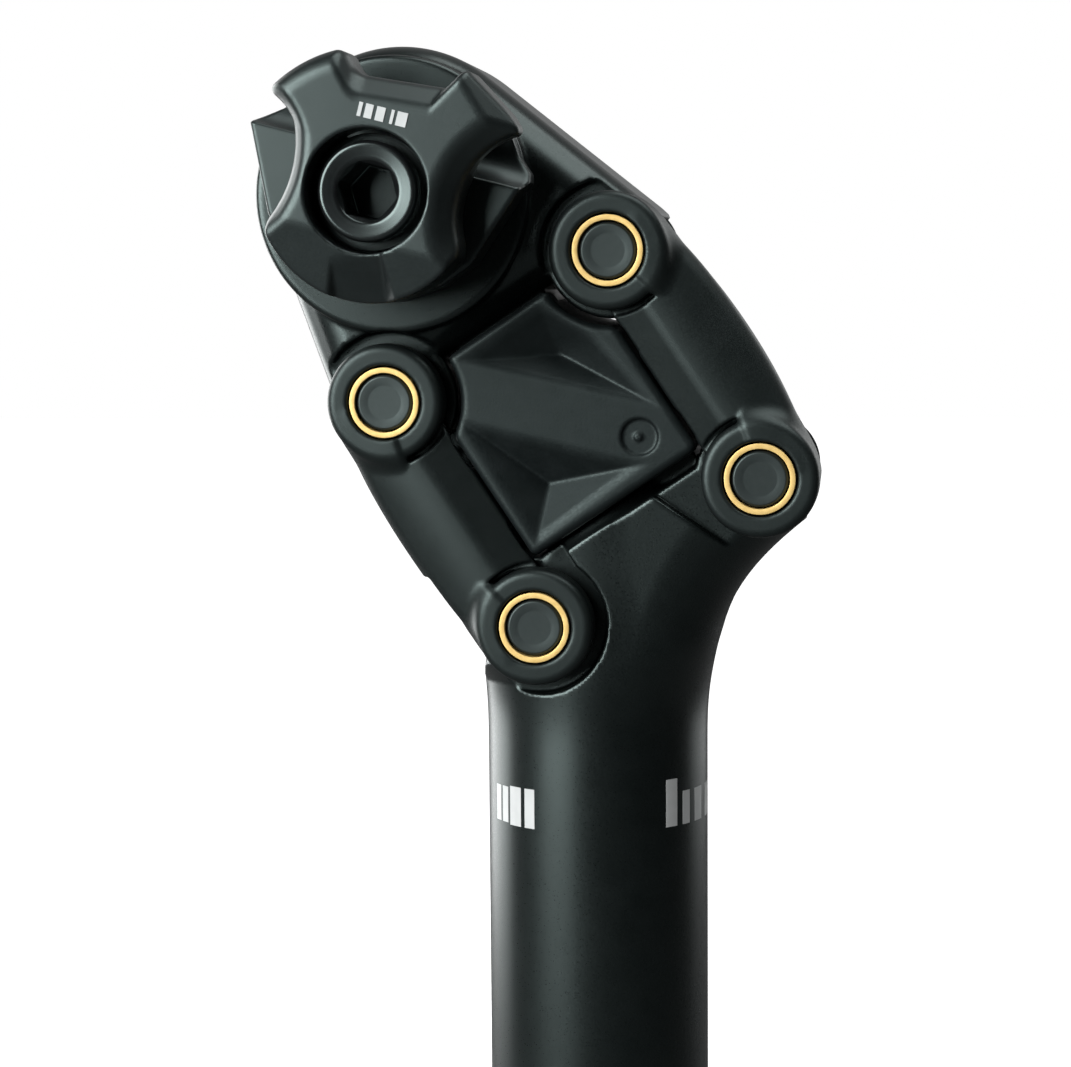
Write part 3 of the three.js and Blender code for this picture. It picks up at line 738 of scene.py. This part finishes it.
def head_field(x, y, z):
    beside = np.abs(y)
    flat = outline(x, z, HEAD_POINTS)
    face = beside - HEAD_HALF_WIDTH
    body = round_max(round_max(flat, face, 0.8), bevel(flat, face, HEAD_BEVEL), 1.2)
    drum = round_max(circle(x, z, DRUM_CENTRE, DRUM_RADIUS), beside - DRUM_FACE, 0.7)
    body = round_min(body, drum, 0.25)
    u = np.abs(x)
    pocket = round_max(circle(u, z, UPPER, POCKET_RADIUS), LUG_HALF_WIDTH - beside, 0.3)
    body = round_max(body, -pocket, 0.25)
    body = round_max(body, HEAD_LOWER_EDGE - 0.4 * (1 - smooth_step(9.0, 10.0, beside)) - z, 0.4)
    from_pin = np.hypot(u - PIVOT_HALF, z - PIVOT_HALF)
    web = np.maximum(from_pin - HEAD_WEB_RADIUS, u - HEAD_WEB_EDGE)
    lugs = round_max(np.minimum(from_pin - LUG_END, web), beside - LUG_HALF_WIDTH + 0.1, 0.4)
    body = np.minimum(body, lugs)
    rib = np.maximum(beside - RIB_HALF_WIDTH, u - HEAD_RIB_REACH)
    rib = np.maximum(rib, np.abs(z - HEAD_RIB_MIDDLE) - HEAD_RIB_HALF_HEIGHT)
    body = np.minimum(body, rib)
    body = round_max(body, PIN_HOLE - from_pin, 0.3)
    return round_max(body, BOLT_HOLE - np.hypot(x - DRUM_CENTRE[0], z - DRUM_CENTRE[1]), 0.3)


low_u, high_u = HEAD_POINTS[:, 0].min() - 1, HEAD_POINTS[:, 0].max() + 1
low_w, high_w = HEAD_POINTS[:, 1].min() - 1, HEAD_POINTS[:, 1].max() + 1
grow(
    "head_forging", head_field, LINKAGE,
    (ruler((low_u, high_u, 0.38)), ruler((-16.0, 16.0, 0.38)), ruler((low_w, high_w, 0.38))),
    "head_body", ["seat_head"], ANODISED,
)

# ---- Elastomer spring ----

BLOCK_HALF = 11.75
BLOCK_BOTTOM = -9.1
BLOCK_TOP = 16.4
BLOCK_FACE = 14.0
BLOCK_RELIEF = 8.8
KEY_LOW, KEY_HIGH = -8.6, 15.2  # past these heights the middle is cut back for the ribs
PITS = (
    (((-5.4, 14.9), (5.6, 15.2), (8.8, 8.9), (10.2, -1.6)), (4.15, 9.23), 3.0),
    (((-9.7, 8.6), (4.7, -6.8), (-10.2, -7.5)), (-5.63, -2.72), 3.2),
)
DIMPLE = (6.79, -4.14)


def pit_field(u, beside, w, corners, deepest, depth):
    """A sunk pyramid: its rim lies on the face and its tip is depth below."""
    middle = np.mean(corners, axis=0)
    tip = np.array([deepest[0], BLOCK_FACE - depth, deepest[1]])
    hollow = -np.inf
    for start, end in zip(corners, corners[1:] + corners[:1]):
        a = np.array([start[0], BLOCK_FACE, start[1]])
        b = np.array([end[0], BLOCK_FACE, end[1]])
        normal = np.cross(b - a, tip - a)
        normal /= np.linalg.norm(normal)
        inward = np.array([middle[0], BLOCK_FACE + 1, middle[1]]) - a
        if normal @ inward > 0:
            normal = -normal
        plane = normal[0] * (u - a[0]) + normal[1] * (beside - a[1]) + normal[2] * (w - a[2])
        hollow = soft_max(hollow, plane, 0.25) if np.ndim(hollow) else plane
    return hollow


def block_field(x, y, z):
    beside = np.abs(y)
    u = np.abs(x)
    flat = round_max(u - BLOCK_HALF, BLOCK_BOTTOM - z, 1.0)
    flat = round_max(flat, z - BLOCK_TOP, 0.8)
    flat = round_max(flat, -circle(u, z, UPPER, BLOCK_RELIEF), 0.9)
    body = round_max(flat, beside - BLOCK_FACE, 0.9)
    for corners, deepest, depth in PITS:
        body = round_max(body, -pit_field(x, beside, z, corners, deepest, depth), 0.45)
    keys = np.maximum(np.minimum(z - KEY_LOW, KEY_HIGH - z), beside - RIB_HALF_WIDTH)
    body = round_max(body, RIB_CLEARANCE - keys, 0.15)
    reach = circle(x, z, DIMPLE, 0)
    body = round_max(body, -np.maximum(reach - 2.15, BLOCK_FACE - 0.35 - beside), 0.18)
    gate = round_max(circle(x, z, (DIMPLE[0] - 0.15, DIMPLE[1] + 0.1), 0.5), beside - BLOCK_FACE + 0.1, 0.1)
    return round_min(body, gate, 0.12)


block = grow(
    "elastomer_block", block_field, LINKAGE,
    (ruler((-12.6, 12.6, 0.25)), ruler((-14.8, 14.8, 0.25)), ruler((-10.0, 17.4, 0.25))),
    "spring_body", ["elastomer_spring"], RUBBER,
)
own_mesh(block)

# ---- Pivot hardware ----

PIVOTS = {
    "lower_front": (LOWER_FRONT, "post", "front_link_body"),
    "lower_rear": (LOWER_REAR, "post", "rear_link_body"),
    "upper_front": (UPPER_FRONT, "head_body", "front_link_body"),
    "upper_rear": (UPPER_REAR, "head_body", "rear_link_body"),
}


def banded(inner, outer, low, high):
    return [(inner, low), (outer, low), (outer, high), (inner, high)]


SLEEVE_INNER, SLEEVE_OUTER = 3.52, 4.18
WASHER_INNER, WASHER_OUTER = 3.5, 6.2
WASHER_FACES = (11.5, 12.1)
PIN_END = [(3.1, 12.8), (3.32, 13.0), (3.32, 15.65), (3.05, 15.9), (2.0, 15.8), (0, 15.8)]
PIN_PROFILE = [(radius, -y) for radius, y in reversed(PIN_END)] + PIN_END

for place, (centre, pin_body, link_body) in PIVOTS.items():
    turn(
        "pin_" + place, eased(PIN_PROFILE, 0.12), centre,
        pin_body, ["pivot_pin_" + place], "pin_steel", PIN,
    )
    for side_name, side in (("left", 1), ("right", -1)):
        low, high = sorted((side * CHEEK_INNER, side * (BOSS_FACE - 0.05)))
        turn(
            f"sleeve_{place}_{side_name}", eased(banded(SLEEVE_INNER, SLEEVE_OUTER, low, high), 0.08), centre,
            link_body, [f"bushing_{place}_{side_name}"], "bronze", BRONZE,
        )
        low, high = sorted(side * face for face in WASHER_FACES)
        turn(
            f"washer_{place}_{side_name}", eased(banded(WASHER_INNER, WASHER_OUTER, low, high), 0.15), centre,
            link_body, [f"thrust_washer_{place}_{side_name}"], "polymer", POLYMER,
        )

# ---- Rail clamp ----

RAIL_RADIUS = 3.65
RAIL_HEIGHT = 8.1
RAIL_SPREAD = 22.0
CRADLE_START = 15.3
CRADLE_FACE = 21.7
CAP_START = 22.3
REAR_ARM_RADIUS = 16.3          # also the left cap's front arm
FOOT_RADIUS = 12.65
CHANNEL_SIN, CHANNEL_COS = math.sin(CLAMP_TILT), math.cos(CLAMP_TILT)
CAP_FACE = 30.46
COUNTERBORE = 7.05
COUNTERBORE_FLOOR = 24.6
CRADLE_POINTS = np.array([
    (-16.9, 4.5), (-12.3, -5.4), (-9.6, -8.6), (-4.6, -11.8), (4.6, -11.8), (9.6, -8.6),
    (12.3, -5.4), (15.6, 4.0), (16.4, 5.3), (16.1, 6.3), (14.3, 7.9), (13.0, 9.9), (11.4, 11.4),
    (-9.6, 11.4), (-11.6, 9.7), (-13.4, 7.3),
])


def cradle_field(bore):
    def field(x, y, z):
        beside = np.abs(y)
        flat = outline(x, z, CRADLE_POINTS)
        middle = (CRADLE_START + CRADLE_FACE) / 2
        body = round_max(flat, np.abs(beside - middle) - (CRADLE_FACE - CRADLE_START) / 2, 0.45)
        groove = np.hypot(beside - RAIL_SPREAD, z - RAIL_HEIGHT) - RAIL_RADIUS
        body = round_max(body, -groove, 0.35)
        return round_max(body, bore - np.hypot(x, z), 0.3)
    return field


def sloped(removed, height, width, depth):
    """The bevel round a cut: removed is the cut's flat distance, width and depth are the bevel's."""
    return (removed - width + (CAP_FACE - height) * width / depth) * depth / math.hypot(width, depth)


FRONT_CUT = ((19.9, 1.7), 9.8)          # centre and radius
REAR_CUT = ((-23.0, 0.3), 13.8)
HOOK_EDGE = ((-10.9, 6.7), (-14.1, 8.5))
NOTCH_FLOOR = ((-4.3, 12.45), (5.8, 13.3))
NOTCH_REAR = ((-4.3, 12.45), (-6.2, 14.6))
NOTCH_FRONT = ((5.9, 13.6), (4.2, 10.9))
ARM_FROM = 4.0                          # the front arm begins here
ARM_EDGE = (0.544, 0.839, 17.6)         # direction and distance of its outer edge
ARM_FACET = (0.687, 0.727, 15.72)       # the same of the broad flat on its end
FACET_RISE = 1.15
ROUND_END = 14.75                       # the rear arm's bevel
FOOT_FALL = 0.34
FOOT_LINE = -5.0
CHANNEL_MIDDLE = -1.35
CHANNEL_HALF = 2.85
CHANNEL_FALL = 0.62
CHANNEL_START = 6.4


def cap_field(bore, front_arm):
    def field(x, y, z):
        height = np.abs(y)
        reach = np.hypot(x, z)
        # the outline: a foot, two arms, a cut-out each side and a notch on top
        rim = np.where(x < 0, REAR_ARM_RADIUS, front_arm)
        flat = reach - np.where(z > 0, rim, FOOT_RADIUS)
        edge = ARM_EDGE[0] * x + ARM_EDGE[1] * z - ARM_EDGE[2]
        flat = np.where(x > ARM_FROM, round_max(flat, edge, 1.0), flat)
        front_cut = circle(x, z, *FRONT_CUT)
        hook = -line_side(x, z, *HOOK_EDGE)
        rear_cut = round_max(circle(x, z, *REAR_CUT), hook, 0.9)
        notch_floor = -line_side(x, z, *NOTCH_FLOOR)
        rear_wall = line_side(x, z, *NOTCH_REAR)
        front_wall = line_side(x, z, *NOTCH_FRONT)
        notch = np.maximum(soft_max(notch_floor, rear_wall, 1.0), front_wall)
        flat = round_max(flat, -front_cut, 1.1)
        flat = round_max(flat, -rear_cut, 1.0)
        flat = round_max(flat, -notch, 1.1)
        body = round_max(flat, np.abs(height - (CAP_START + CAP_FACE) / 2) - (CAP_FACE - CAP_START) / 2, 0.55)
        # the rear arm ends on a round bevel, the front arm on a broad flat
        round_end = (reach - ROUND_END + height - CAP_FACE) * math.sqrt(0.5)
        rear = round_max(body, np.where(z > 0, round_end, -5.0), 0.9)
        broad = ARM_FACET[0] * x + ARM_FACET[1] * z - ARM_FACET[2] + (height - CAP_FACE) * FACET_RISE
        front = round_max(body, broad * 0.66, 0.5)
        body = np.where(x < 0, rear, np.where(x > ARM_FROM, front, body))
        # foot: its face falls away and carries a channel between two slanted walls
        foot = (height - CAP_FACE + FOOT_FALL * np.maximum(FOOT_LINE - z, 0)) * 0.95
        body = round_max(body, foot, 0.3)
        along = -(z * CHANNEL_COS + x * CHANNEL_SIN)
        across = x * CHANNEL_COS - z * CHANNEL_SIN
        floor = CAP_FACE - 0.35 - CHANNEL_FALL * np.maximum(along - CHANNEL_START, 0)
        walls = np.abs(across - CHANNEL_MIDDLE) - CHANNEL_HALF - (height - floor) * 0.8
        channel = np.maximum(walls * 0.78, floor - height)
        body = round_max(body, -np.maximum(channel, z + 4), 0.2)
        # bevels round the cut-outs and the notch
        body = round_max(body, -sloped(front_cut, height, 2.6, 2.2), 0.65)
        body = round_max(body, -sloped(rear_cut, height, 1.6, 1.8), 0.65)
        slants = soft_max(sloped(notch_floor, height, 2.6, 2.2), sloped(rear_wall, height, 1.5, 2.2), 0.8)
        slants = np.maximum(slants, sloped(front_wall, height, 0.7, 2.0))
        body = round_max(body, -slants, 0.6)
        groove = np.hypot(height - RAIL_SPREAD, z - RAIL_HEIGHT) - RAIL_RADIUS
        body = round_max(body, -groove, 0.35)
        seat = np.maximum(reach - COUNTERBORE, COUNTERBORE_FLOOR - height)
        body = round_max(body, -seat, 0.22)
        return round_max(body, bore - reach, 0.25)
    return field


NUT_BORE = 5.6
LONG_ARM_RADIUS = 18.9          # the right cap's front arm
CLAMP_SIDES = (("left", 1, NUT_BORE, REAR_ARM_RADIUS), ("right", -1, BOLT_HOLE, LONG_ARM_RADIUS))
for side_name, side, bore, front_arm in CLAMP_SIDES:
    low, high = sorted((side * (CRADLE_START - 0.8), side * (CRADLE_FACE + 0.8)))
    grow(
        "cradle_" + side_name, cradle_field(bore), CLAMP_PLACE,
        (ruler((-17.8, 17.6, 0.28)), ruler((low, high, 0.28)), ruler((-12.8, 13.4, 0.28))),
        "cradle_body", ["inner_cradle_" + side_name], CLAMP_BLACK,
    )
    low, high = sorted((side * (CAP_START - 0.8), side * (CAP_FACE + 0.8)))
    grow(
        "cap_" + side_name, cap_field(bore, front_arm), CLAMP_PLACE,
        (ruler((-17.4, 17.4, 0.26)), ruler((low, high, 0.26)), ruler((-14.0, 18.4, 0.26))),
        f"cap_{side_name}_body", ["outer_cap_" + side_name], CLAMP_BLACK,
    )
    low, high = sorted((side * 24.9, side * 25.9))
    turn(
        "seat_washer_" + side_name, eased(banded(bore, 6.7, low, high), 0.15), CLAMP,
        f"cap_{side_name}_body", ["clamp_washer_" + side_name], "black_steel", STEEL,
    )

HEX_FLAT = 3.0                  # half the distance across the flats
BOLT_HEAD_RADIUS = 5.75
HEAD_TOP = -29.3
HEAD_SEAT = -26.2
SHANK_RADIUS = 4.1
SHANK_END = 26.0
SOCKET_FLOOR = -22.6
MOUTH_RADIUS = 3.6


def bolt_field(x, y, z):
    reach = np.hypot(x, z)
    face = HEAD_TOP + 0.11 * np.clip(5.4 - reach, 0, 2.4) - y
    head = round_max(round_max(reach - BOLT_HEAD_RADIUS, face, 0.7), y - HEAD_SEAT, 0.2)
    shank = round_max(reach - SHANK_RADIUS, np.maximum(y - SHANK_END, -y - 28.0), 0.8)
    body = np.minimum(head, shank)
    angle = np.arctan2(z, x)
    sector = np.mod(angle, math.pi / 3) - math.pi / 6
    hexagon = reach * np.cos(sector) - HEX_FLAT
    socket = round_max(hexagon, y - SOCKET_FLOOR, 0.3)
    mouth = (reach - MOUTH_RADIUS + (y + 29.05) * 0.9) * 0.74
    return round_max(body, -np.minimum(socket, np.maximum(mouth, y + 27.8)), 0.15)


grow(
    "bolt", bolt_field, CLAMP_PLACE,
    (
        ruler((-6.3, 6.3, 0.14)),
        ruler((-29.9, -22.0, 0.14), (-22.0, 24.6, 2.0), (24.6, 26.6, 0.2)),
        ruler((-6.3, 6.3, 0.14)),
    ),
    "bolt_body", ["clamp_bolt"], STEEL, rounds=1,
)
nut = [
    (4.3, 16.0), (5.3, 16.0), (5.3, 26.2), (5.75, 26.2), (5.75, 29.3), (5.1, 29.3), (4.9, 29.0), (4.3, 29.0),
]
turn("nut", eased(nut, 0.3), CLAMP, "cap_left_body", ["clamp_nut"], "black_steel", STEEL)

# ---- Pale print: plain bars, with no lettering ----


def printed(name, plates, body):
    """Thin closed plates. Each one is a grid of lower and upper points."""
    points = []
    faces = []
    for lower, upper in plates:
        rows, columns = lower.shape[:2]
        base = len(points)
        points += list(lower.reshape(-1, 3)) + list(upper.reshape(-1, 3))
        top = base + rows * columns

        def at(i, j, start):
            return start + i * columns + j
        for i in range(rows - 1):
            for j in range(columns - 1):
                faces.append((at(i, j, top), at(i, j + 1, top), at(i + 1, j + 1, top), at(i + 1, j, top)))
                faces.append((at(i, j, base), at(i + 1, j, base), at(i + 1, j + 1, base), at(i, j + 1, base)))
        rim = [(0, j) for j in range(columns)] + [(i, columns - 1) for i in range(1, rows)]
        rim += [(rows - 1, j) for j in range(columns - 2, -1, -1)] + [(i, 0) for i in range(rows - 2, 0, -1)]
        for (a, b), (c, d) in zip(rim, rim[1:] + rim[:1]):
            faces.append((at(a, b, base), at(c, d, base), at(c, d, top), at(a, b, top)))
    piece = new_mesh(name, np.array(points), faces, body, [], PRINT)
    piece.data.shade_flat()
    return piece


def tube_bar(angle, half_angle, low, high):
    """A bar on the tube. Angles count from the right-hand side, towards the front."""
    angles = np.linspace(angle - half_angle, angle + half_angle, 9)
    heights = np.array([low, high])
    shells = []
    for radius in (TUBE_RADIUS - 0.05, TUBE_RADIUS + 0.02):
        shell = np.zeros((2, 9, 3))
        shell[:, :, 0] = radius * np.sin(angles)[None, :]
        shell[:, :, 1] = -radius * np.cos(angles)[None, :]
        shell[:, :, 2] = heights[:, None]
        shells.append(shell)
    return tuple(shells)


TUBE_BARS = (                   # middle and half width in degrees, then the two heights
    (-57, 2.6, 266.0, 270.4), (-50, 2.6, 266.0, 270.4),
    (-41.5, 4.2, 265.8, 270.6), (-31.5, 3.2, 265.8, 270.6),
    (47, 3.8, 265.9, 271.7), (58, 3.0, 265.9, 270.0),
    (70, 4.2, 265.9, 270.0), (84, 4.2, 265.9, 270.0),
)
SCALE_START, SCALE_STEP, SCALE_LINE = 120, 5, 0.5
bars = [
    tube_bar(math.radians(middle), math.radians(width), low, high)
    for middle, width, low, high in TUBE_BARS
]
for step in range(17):
    half = 7.5 if step % 4 == 0 else 4.0
    low = SCALE_START + SCALE_STEP * step
    bars.append(tube_bar(math.radians(-90 + half), math.radians(half), low, low + SCALE_LINE))
printed("tube_print", bars, "post")

CAP_BARS = ((-2.9, 0.45), (-2.1, 0.9), (-0.8, 1.0), (0.9, 0.35), (1.6, 1.2))    # start and width
CAP_BAR_HEIGHTS = np.array([7.9, 9.5])
marks = []
for start, width in CAP_BARS:
    edges = np.array([start, start + width])
    shells = []
    for depth in (CAP_FACE - 0.05, CAP_FACE + 0.025):
        shell = np.zeros((2, 2, 3))
        shell[:, :, 0] = edges[None, :]
        shell[:, :, 1] = -depth
        shell[:, :, 2] = CAP_BAR_HEIGHTS[:, None]
        shells.append(CLAMP_PLACE.outside(shell.reshape(-1, 3)).reshape(2, 2, 3))
    marks.append(tuple(shells))
printed("cap_print", marks, "cap_right_body")

# ---- Stage, light and camera ----

floor_mesh = bpy.data.meshes.new("floor")
FLOOR_HALF = 6.0
corners = [(a * FLOOR_HALF, b * FLOOR_HALF, 0) for a, b in ((-1, -1), (1, -1), (1, 1), (-1, 1))]
floor_mesh.from_pydata(corners, [], [(0, 1, 2, 3)])
floor = bpy.data.objects.new("floor", floor_mesh)
bpy.context.collection.objects.link(floor)
paper, nodes, links, bsdf = shader("pale_floor")
mottle = noise(nodes, links, nodes.new("ShaderNodeTexCoord").outputs["Object"], 30, 3)
links.new(tinted(nodes, links, mottle, (0.86, 0.86, 0.86), (0.9, 0.9, 0.9)), bsdf.inputs["Base Color"])
bsdf.inputs["Roughness"].default_value = 0.9
bsdf.inputs["Specular IOR Level"].default_value = 0.1
lit = nodes.new("ShaderNodeEmission")
lit.inputs["Strength"].default_value = 1.1
bright = nodes.new("ShaderNodeAddShader")
links.new(bsdf.outputs[0], bright.inputs[0])
links.new(lit.outputs[0], bright.inputs[1])
dim = nodes.new("ShaderNodeBsdfDiffuse")
dim.inputs["Color"].default_value = (0.1, 0.1, 0.1, 1)
either = nodes.new("ShaderNodeMixShader")
links.new(nodes.new("ShaderNodeLightPath").outputs["Is Camera Ray"], either.inputs[0])
links.new(dim.outputs[0], either.inputs[1])
links.new(bright.outputs[0], either.inputs[2])
links.new(either.outputs[0], nodes["Material Output"].inputs["Surface"])
floor_mesh.materials.append(paper)

scene = bpy.context.scene
scene.view_settings.view_transform = "Standard"
world = bpy.data.worlds.new("studio")
scene.world = world
world.use_nodes = True
nodes = world.node_tree.nodes
links = world.node_tree.links
background = nodes["Background"]
background.inputs["Strength"].default_value = 1.0
direction = nodes.new("ShaderNodeSeparateXYZ")
links.new(nodes.new("ShaderNodeTexCoord").outputs["Generated"], direction.inputs[0])
behind = spread(nodes, links, direction.outputs["Y"], 0.1, 0.95, 0.008, 0.42)
surround = tinted(nodes, links, behind, (0, 0, 0), (1, 1, 1))
camera_ray = nodes.new("ShaderNodeLightPath").outputs["Is Camera Ray"]
seen = nodes.new("ShaderNodeMix")
seen.data_type = "RGBA"
links.new(camera_ray, seen.inputs[0])
links.new(surround, seen.inputs[6])
seen.inputs[7].default_value = (1, 1, 1, 1)
links.new(seen.outputs[2], background.inputs["Color"])


def softbox(name, place, aim, size, power):
    light = bpy.data.lights.new(name, "AREA")
    light.shape = "RECTANGLE"
    light.size, light.size_y = size
    light.energy = power
    lamp = bpy.data.objects.new(name, light)
    lamp.location = place
    lamp.rotation_euler = (Vector(aim) - Vector(place)).to_track_quat("-Z", "Y").to_euler()
    bpy.context.collection.objects.link(lamp)
    return lamp


AIM = (-0.008, 0, 0.30)
softbox("key", (-0.62, -0.80, 0.60), AIM, (0.65, 0.9), 25)
softbox("left_rim", (-0.9, 0.55, 0.42), AIM, (0.9, 0.9), 13)
softbox("top", (0.35, -0.1, 1.25), AIM, (0.8, 0.8), 8)
softbox("rear_fill", (0.7, 0.8, 0.5), AIM, (0.8, 0.9), 3.5)

camera_data = bpy.data.cameras.new("camera")
camera_data.sensor_fit = "HORIZONTAL"
camera_data.sensor_width = 36
camera_data.lens = 90.72
camera = bpy.data.objects.new("camera", camera_data)
camera.location = (0.037, -0.330, 0.332)
CAMERA_TARGET = Vector((-0.007678, 0, 0.300508))
CAMERA_ROLL = math.radians(-0.431)
look = CAMERA_TARGET - camera.location
turned_camera = look.to_track_quat("-Z", "Y").to_matrix() @ Matrix.Rotation(CAMERA_ROLL, 3, "Z")
camera.rotation_euler = turned_camera.to_euler()
bpy.context.collection.objects.link(camera)
scene.camera = camera
